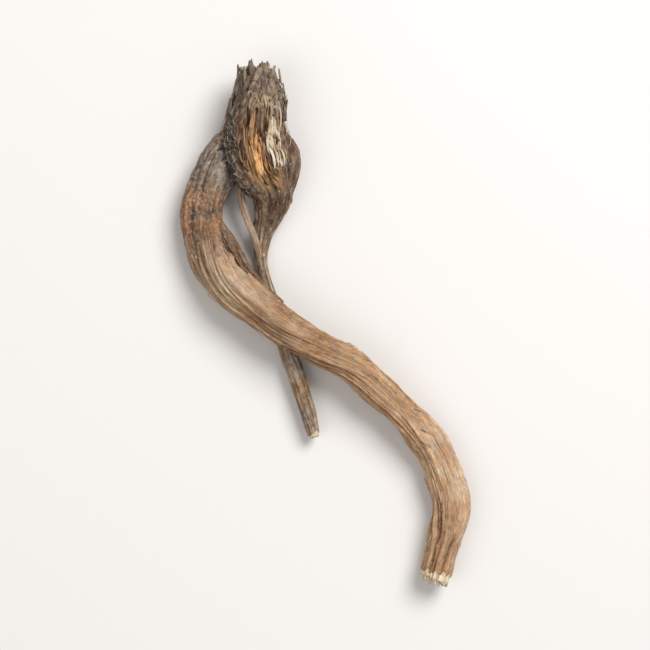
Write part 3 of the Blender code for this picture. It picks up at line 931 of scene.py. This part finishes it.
def tip_splinters():
    """Ends of woody fibre that stand out of the taproot's snapped end."""
    bm, layers = new_mesh()
    curve = through(TAPROOT)
    centre, radius, tangent, up, side = station(curve, curve[-1][0])
    draw, looks = random.Random(SEED), random.Random(SEED + 8)
    ends = []
    for i in range(SPLINTERS):
        out = outwards(math.tau * (i + draw.uniform(-0.3, 0.3)) / SPLINTERS, up, side)
        ends.append((out, 0.72, draw.uniform(*SPLINTER_LENGTH), 0.4))
    for _ in range(SMALL_SPLINTERS):
        out = outwards(looks.uniform(0.0, math.tau), up, side)
        share, length = looks.uniform(0.2, 0.95), looks.uniform(0.0, 0.8) ** 1.3
        ends.append((out, share, length, looks.uniform(0.12, 0.36)))
    for out, share, length, wide in ends:
        foot = centre + out * radius * share - tangent * SPLINTER_SINK
        lean = (tangent + out * looks.uniform(-0.12, 0.25)).normalized()
        reach = length + SPLINTER_SINK
        rows = [(foot + lean * reach * t, out, wide * (1 - 0.75 * t**2)) for t in shares(7)]
        strand(bm, layers, rows, flatness=0.55, sides=7, shade=looks.random(), ribs=0.2, jag=0.5)
    return finished("tip_splinters", bm, pale_wood_material())


# Materials

def srgb(red, green, blue):
    """A colour given as it looks on a screen, from 0 to 255, as the linear colour that nodes take."""
    def linear(c):
        c /= 255
        return c / 12.92 if c <= 0.04045 else ((c + 0.055) / 1.055) ** 2.4
    return (linear(red), linear(green), linear(blue), 1.0)


class Paint:
    """A material whose nodes are added by short calls. Each call gives back the node's output."""

    def __init__(self, name, roughness, specular=0.3):
        self.material = bpy.data.materials.new(name)
        self.material.use_nodes = True
        self.tree = self.material.node_tree
        self.shader = self.tree.nodes["Principled BSDF"]
        self.shader.inputs["Roughness"].default_value = roughness
        self.shader.inputs["Specular IOR Level"].default_value = specular

    def node(self, kind, inputs, output=0, **settings):
        made = self.tree.nodes.new(kind)
        for key, value in settings.items():
            setattr(made, key, value)
        for key, value in inputs.items():
            if isinstance(value, bpy.types.NodeSocket):
                self.tree.links.new(value, made.inputs[key])
            else:
                made.inputs[key].default_value = value
        return made.outputs[output]

    def attribute(self, name, output=2):
        return self.node("ShaderNodeAttribute", {}, output, attribute_name=name)

    def stretched(self, vector, stretch):
        return self.node("ShaderNodeMapping", {"Vector": vector, "Scale": stretch})

    def noise(self, vector, stretch=(1.0, 1.0, 1.0), detail=4.0, roughness=0.55, distortion=0.0):
        return self.node("ShaderNodeTexNoise", {
            "Vector": self.stretched(vector, stretch), "Scale": 1.0, "Detail": detail,
            "Roughness": roughness, "Distortion": distortion,
        })

    def maths(self, operation, a, b=0.0, c=0.0):
        return self.node("ShaderNodeMath", {0: a, 1: b, 2: c}, operation=operation)

    def creases(self, vector, stretch, width):
        """1 along thin crease lines that run the way the pattern is stretched, and 0 between them."""
        level = self.noise(vector, stretch, 2.0, 0.5, 0.35)
        away = self.maths("ABSOLUTE", self.maths("SUBTRACT", level, 0.5))
        return self.fade(away, 0.0, width, 1.0, 0.0)

    def fade(self, value, start, end, low=0.0, high=1.0):
        return self.node("ShaderNodeMapRange", {
            "Value": value, "From Min": start, "From Max": end, "To Min": low, "To Max": high,
        })

    def within(self, value, start, full, ebb, end, high=1.0):
        """The high value from full to ebb, which fades to 0 at start and at end."""
        rising = self.fade(value, start, full, 0.0, high)
        return self.maths("MULTIPLY", rising, self.fade(value, end, ebb))

    def ramp(self, factor, stops):
        made = self.tree.nodes.new("ShaderNodeValToRGB")
        while len(made.color_ramp.elements) < len(stops):
            made.color_ramp.elements.new(0.5)
        for element, (position, colour) in zip(made.color_ramp.elements, stops):
            element.position = position
            element.color = srgb(*colour)
        self.tree.links.new(factor, made.inputs[0])
        return made.outputs[0]

    def mix(self, factor, a, b):
        return self.node("ShaderNodeMix", {0: factor, 6: a, 7: b}, 2, data_type="RGBA")

    def sum_of(self, *terms):
        """Adds up (value, weight) terms, each counted from a half."""
        total = 0.5
        for value, weight in terms:
            total = self.maths("MULTIPLY_ADD", value, weight, total)
            total = self.maths("SUBTRACT", total, weight / 2)
        return total

    def finish(self, colour, height, roughness, distance):
        self.tree.links.new(colour, self.shader.inputs["Base Color"])
        self.tree.links.new(roughness, self.shader.inputs["Roughness"])
        bump = self.node("ShaderNodeBump", {"Height": height, "Distance": distance, "Strength": 1.0})
        self.tree.links.new(bump, self.shader.inputs["Normal"])
        return self.material


class BarkPaint(Paint):
    """A paint with the patterns of dry bark; on the taproot its painted furrow shade is faint in the
    middle.
    """

    def __init__(self, name, contrast, on_taproot):
        super().__init__(name, 0.85)
        self.contrast = contrast
        self.straight = self.attribute("straight", 1)
        self.along = self.node("ShaderNodeSeparateXYZ", {0: self.straight}, 2)
        self.place = self.node("ShaderNodeTexCoord", {}, 3)
        self.bands = self.noise(self.straight, (0.6, 0.6, 0.04), 4.0, 0.6)
        self.streaks = self.noise(self.straight, (2.2, 2.2, 0.24), 5.0, 0.62)
        self.threads = self.noise(self.straight, (7.0, 7.0, 0.9), 3.0, 0.6)
        self.patches = self.noise(self.place, (120.0, 120.0, 120.0), 4.0, 0.6)
        self.mottle = self.noise(self.place, (430.0, 430.0, 430.0), 4.0, 0.65)
        self.grain = self.noise(self.straight, (9.0, 9.0, 5.0), 3.0, 0.6)
        self.line = self.creases(self.straight, (1.25, 1.25, 0.11), 0.03)
        self.fine_line = self.creases(self.straight, (2.7, 2.7, 0.3), 0.03)
        self.furrowed = self.attribute("furrow")
        self.furrow_shade_left = 1.0
        if on_taproot:
            faint = self.within(self.along, *FAINT_STRETCH)
            self.furrow_shade_left = self.maths("MULTIPLY_ADD", faint, -0.5, 1.0)
            self.furrowed = self.maths("MULTIPLY", self.furrowed, self.furrow_shade_left)


def bark_tone(paint, pale, on_taproot):
    """How light the bark is: streaked and mottled, with painted shade darkening its furrows and creases."""
    contrast = paint.contrast
    tone = paint.sum_of(
        (paint.bands, 0.7 * contrast), (paint.streaks, 0.9 * contrast), (paint.threads, 0.6 * contrast),
        (paint.patches, 0.9 * contrast), (paint.mottle, 0.9 * contrast), (paint.grain, 0.5 * contrast),
    )
    tone = paint.maths("ADD", paint.maths("ADD", tone, 0.13 + pale), paint.attribute("shade"))
    # painted shade: darker down the furrows
    tone = paint.maths("MULTIPLY_ADD", paint.furrowed, -0.34 * contrast, tone)
    # painted shade along the creases and the fine valley lines
    for dark, amount in (
        (paint.attribute("crease"), 0.14 * contrast), (paint.line, 0.14 * contrast), (paint.fine_line, 0.1),
    ):
        tone = paint.maths("MULTIPLY_ADD", paint.maths("MULTIPLY", dark, paint.furrow_shade_left), -amount, tone)
    if on_taproot:
        # partly painted light and shade: steps lighter and darker along the taproot
        for start, end, step in TAPROOT_TONE_AND_LIGHT_STEPS:
            tone = paint.maths("ADD", tone, paint.fade(paint.along, start, end, 0.0, step))
        tone = paint.maths("ADD", tone, TAPROOT_TONE)
    return tone


def bark_colour(paint, tone):
    """Tan on the ridges, darker red-brown in the furrows, partly painted shade; reddish in patches, and
    spotted.
    """
    colour = paint.ramp(tone, [
        (0.04, (72, 45, 32)), (0.22, (121, 84, 58)), (0.4, (167, 126, 91)),
        (0.56, (198, 157, 119)), (0.74, (218, 181, 144)), (0.95, (232, 203, 170)),
    ])
    # partly painted shade: the furrows mixed towards a dark red-brown
    deep = paint.maths("MULTIPLY", paint.furrowed, 0.5 * paint.contrast)
    colour = paint.mix(deep, colour, srgb(98, 60, 43))
    reddish = paint.fade(paint.noise(paint.place, (150.0, 150.0, 150.0), 4.0, 0.6), 0.5, 0.66, 0.0, 0.45)
    colour = paint.mix(reddish, colour, srgb(172, 112, 78))
    for stretch, bend, amount, spot_colour in SPOTS:
        spots = paint.noise(paint.straight, stretch, 4.0, 0.65, bend)
        colour = paint.mix(paint.fade(spots, 0.52, 0.66, 0.0, amount), colour, srgb(*spot_colour))
    return colour


def weathered(paint, tone, colour, grey, on_taproot):
    """Turns the bark grey in patches. The taproot is greyest above its upper bend."""
    greyness = paint.fade(paint.patches, 0.35, 0.65, 0.15, 0.5)
    if on_taproot:
        uneven = paint.maths("MULTIPLY_ADD", paint.patches, 26.0, paint.along)
        greyness = paint.maths("ADD", greyness, paint.fade(uneven, 48.0, 29.0, 0.0, 0.6))
        greyness = paint.maths("MULTIPLY", greyness, paint.fade(paint.along, 78.0, 40.0, 0.35, 1.0))
    else:
        greyness = paint.maths("MULTIPLY_ADD", greyness, grey, 0.1)
    return paint.mix(greyness, colour, paint.ramp(tone, [
        (0.06, (58, 52, 47)), (0.4, (118, 106, 94)), (0.8, (182, 170, 154)),
    ]))


def rusty_bend(paint, colour):
    """The rusty patch on the taproot's upper bend, with pale and dark specks from there upwards."""
    uneven = paint.maths("MULTIPLY_ADD", paint.patches, 16.0, paint.along)
    mottled = paint.fade(paint.mottle, 0.42, 0.54, 0.05, 0.7)
    rusty = paint.maths("MULTIPLY", paint.within(uneven, *RUST_STRETCH), mottled)
    colour = paint.mix(rusty, colour, srgb(184, 126, 80))
    specks = paint.noise(paint.place, (1100.0, 1100.0, 1100.0), 2.0, 0.7)
    upper = paint.fade(paint.along, 48.0, 22.0)
    pale = paint.maths("MULTIPLY", paint.fade(specks, 0.53, 0.63, 0.0, 0.6), upper)
    dark = paint.maths("MULTIPLY", paint.fade(specks, 0.46, 0.36, 0.0, 0.5), upper)
    colour = paint.mix(pale, colour, srgb(190, 172, 152))
    return paint.mix(dark, colour, srgb(84, 66, 62))


def on_crown(stretch):
    """A stretch of the crown, counted from where the crown's pattern starts."""
    return [OFFSETS["crown"] + place for place in stretch]


def torn_colour(paint):
    """The floor of the tear: brown, more orange at its heart, with a straw fringe at its foot."""
    heat = paint.within(paint.along, *on_crown(ORANGE_STRETCH))
    raw = paint.sum_of((paint.streaks, 1.0), (paint.threads, 0.9), (paint.mottle, 0.8), (heat, 0.3))
    # painted shade: the tear's floor darker down its furrows
    raw = paint.maths("MULTIPLY_ADD", paint.furrowed, -0.25, raw)
    torn = paint.ramp(raw, [
        (0.1, (50, 34, 25)), (0.32, (98, 70, 50)), (0.52, (150, 112, 78)), (0.7, (190, 136, 82)),
        (0.92, (214, 172, 118)),
    ])
    fringe = paint.within(paint.along, *on_crown(FRINGE_STRETCH), high=0.75)
    return paint.mix(fringe, torn, srgb(166, 144, 80))


def broken_wood_colour(paint):
    """Cream wood, where the bark has broken away at a snapped end."""
    wood = paint.noise(paint.straight, (2.6, 2.6, 1.2), 4.0)
    tone = paint.sum_of((wood, 1.2), (paint.grain, 0.9), (paint.fine_line, -0.15))
    return paint.ramp(tone, [
        (0.12, (178, 142, 104)), (0.38, (222, 197, 162)), (0.7, (244, 229, 202)),
    ])


def bark_material(name, pale=0.0, grey=0.0, contrast=1.0, on_taproot=False):
    """Dry wrinkled bark with pale specks and scars, torn open or snapped where the limb is."""
    paint = BarkPaint(name, contrast, on_taproot)
    tone = bark_tone(paint, pale, on_taproot)
    colour = weathered(paint, tone, bark_colour(paint, tone), grey, on_taproot)
    if on_taproot:
        colour = rusty_bend(paint, colour)
    specks = paint.node("ShaderNodeTexVoronoi", {
        "Vector": paint.stretched(paint.straight, (0.62, 0.62, 0.4)), "Scale": 1.0, "Randomness": 1.0,
    })
    colour = paint.mix(paint.fade(specks, 0.13, 0.05, 0.0, 0.7), colour, srgb(224, 206, 182))
    scar = paint.fade(paint.attribute("scar"), 0.35, 0.9, 0.0, 0.8)
    colour = paint.mix(scar, colour, srgb(190, 162, 130))
    colour = paint.mix(paint.attribute("tear"), colour, torn_colour(paint))
    cut = paint.fade(paint.attribute("cut"), 0.3, 0.6)
    colour = paint.mix(cut, colour, broken_wood_colour(paint))
    height = paint.sum_of(
        (paint.streaks, 0.7), (paint.threads, 0.5), (paint.grain, 0.35), (paint.line, -0.3),
        (paint.fine_line, -0.22),
    )
    rough = paint.fade(paint.grain, 0.3, 0.7, 0.74, 0.95)
    return paint.finish(colour, height, rough, 0.00045)


def fibre_paint(name, stops, lights, distance=0.0002):
    """Fibrous tissue streaked along its length, each strand in a tone of its own."""
    paint = Paint(name, 0.8)
    straight = paint.attribute("straight", 1)
    streaks = paint.noise(straight, (4.5, 4.5, 0.35), 4.0, 0.6)
    blotches = paint.noise(straight, (0.5, 0.5, 0.45), 3.0, 0.6)
    grain = paint.noise(straight, (12.0, 12.0, 5.0), 2.0)
    shade = paint.attribute("shade")
    tone = paint.sum_of((streaks, 0.6), (blotches, 0.9), (shade, lights), (grain, 0.25))
    colour = paint.ramp(tone, stops)
    height = paint.sum_of((streaks, 0.8), (grain, 0.4))
    return paint.finish(colour, height, paint.fade(grain, 0.3, 0.7, 0.68, 0.92), distance)


def torn_wood_material():
    return fibre_paint("bared orange fibre", [
        (0.06, (54, 38, 28)), (0.24, (106, 80, 60)), (0.42, (150, 118, 88)),
        (0.6, (184, 136, 90)), (0.76, (212, 150, 88)), (0.92, (234, 196, 140)),
    ], 0.9)


def pale_wood_material():
    return fibre_paint("pale torn wood", [
        (0.08, (150, 118, 84)), (0.3, (210, 182, 144)), (0.54, (238, 216, 182)), (0.8, (251, 238, 212)),
    ], 0.5)


def pale_strip_material():
    return fibre_paint("torn strip, brown to pale", [
        (0.1, (132, 100, 74)), (0.32, (172, 142, 112)), (0.54, (194, 172, 146)),
        (0.76, (208, 191, 167)), (0.96, (224, 211, 190)),
    ], 1.0)


def stalk_material():
    return fibre_paint("papery leaf stalk", [
        (0.08, (70, 58, 49)), (0.34, (100, 84, 71)), (0.54, (127, 109, 93)),
        (0.72, (149, 130, 112)), (0.92, (180, 162, 139)),
    ], 0.5, 0.0003)


def scale_material():
    return fibre_paint("dark crusty scale", [
        (0.12, (34, 30, 28)), (0.4, (69, 62, 57)), (0.62, (103, 94, 87)), (0.9, (160, 149, 136)),
    ], 0.6)


def hair_material():
    return fibre_paint("dry hair", [
        (0.15, (70, 54, 42)), (0.5, (140, 116, 92)), (0.85, (212, 194, 164)),
    ], 0.9)


# Stage

def floor():
    bm = bmesh.new()
    bmesh.ops.create_grid(bm, x_segments=1, y_segments=1, size=FLOOR_SIZE)
    bmesh.ops.translate(bm, vec=(0.0, 0.0, -FLOOR_DROP), verts=bm.verts)
    mesh = bpy.data.meshes.new("floor")
    bm.to_mesh(mesh)
    bm.free()
    paint = Paint("white card", 0.9, 0.2)
    paint.shader.inputs["Base Color"].default_value = srgb(*FLOOR_COLOUR)
    mesh.materials.append(paint.material)
    sheet = bpy.data.objects.new("floor", mesh)
    bpy.context.scene.collection.objects.link(sheet)


def soft_light(name, place, size, power):
    light = bpy.data.lights.new(name, "AREA")
    light.shape = "DISK"
    light.size = size
    light.energy = power
    lamp = bpy.data.objects.new(name, light)
    lamp.location = place
    lamp.rotation_euler = (-Vector(place)).to_track_quat("-Z", "Y").to_euler()
    bpy.context.scene.collection.objects.link(lamp)


def studio():
    world = bpy.data.worlds.new("soft daylight")
    world.use_nodes = True
    background = world.node_tree.nodes["Background"]
    background.inputs["Color"].default_value = SKY_COLOUR
    background.inputs["Strength"].default_value = SKY_STRENGTH
    bpy.context.scene.world = world
    for name, (place, size, power) in LAMPS.items():
        soft_light(name, place, size, power)


def camera():
    """Looks straight down, with the root turned as in the photograph."""
    data = bpy.data.cameras.new("camera")
    data.sensor_width = 36.0
    data.lens = data.sensor_width * CAMERA_HEIGHT / VIEW_WIDTH
    eye = bpy.data.objects.new("camera", data)
    eye.location = (0.0, 0.0, CAMERA_HEIGHT)
    bpy.context.scene.collection.objects.link(eye)
    bpy.context.scene.camera = eye
    bpy.context.scene.view_settings.view_transform = "Standard"


camera()
studio()
floor()
taproot_bark()
crown_and_side_root()
small_side_roots()
leaf_stalks()
crown_chaff()
tear_fibres()
pale_strips()
loops()
seam_scales()
fine_hairs()
tip_splinters()
